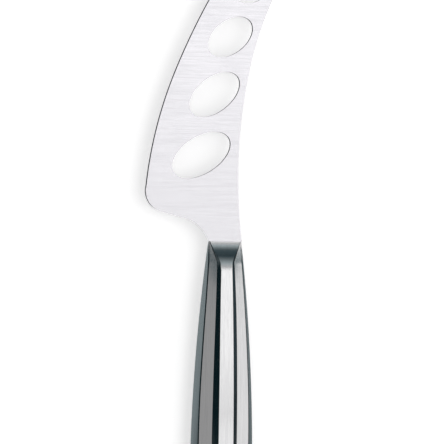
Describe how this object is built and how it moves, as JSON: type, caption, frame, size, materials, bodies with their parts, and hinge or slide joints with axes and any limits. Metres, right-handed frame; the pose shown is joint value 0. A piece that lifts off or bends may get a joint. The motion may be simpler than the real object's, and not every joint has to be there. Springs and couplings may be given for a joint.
{
  "type": "cheese knife",
  "caption": "Soft cheese knife: curved steel blade with oval holes and a forked tip, on a hollow ribbed steel handle brazed from two pressed halves.",
  "frame": {"origin": "middle of the knife's box in plan, on the plane that the handle's lowest rib touches", "axes": "+X from the butt to the forked tip along the handle's axis, +Y to the side of the cutting edge, +Z square to the blade's face"},
  "size_m": [0.2436, 0.0698, 0.0142],
  "materials": {
    "blade_steel": "satin, ground crosswise",
    "handle_steel": "satin, brushed lengthwise",
    "braze": "brazed and ground flush",
    "cement": "cast, matt"
  },
  "bodies": {
    "root": {"blade": "blade_steel", "handle_shell_front": "handle_steel", "handle_shell_back": "handle_steel", "seam_weld": "braze", "tang_cement": "cement"}
  },
  "joints": []
}
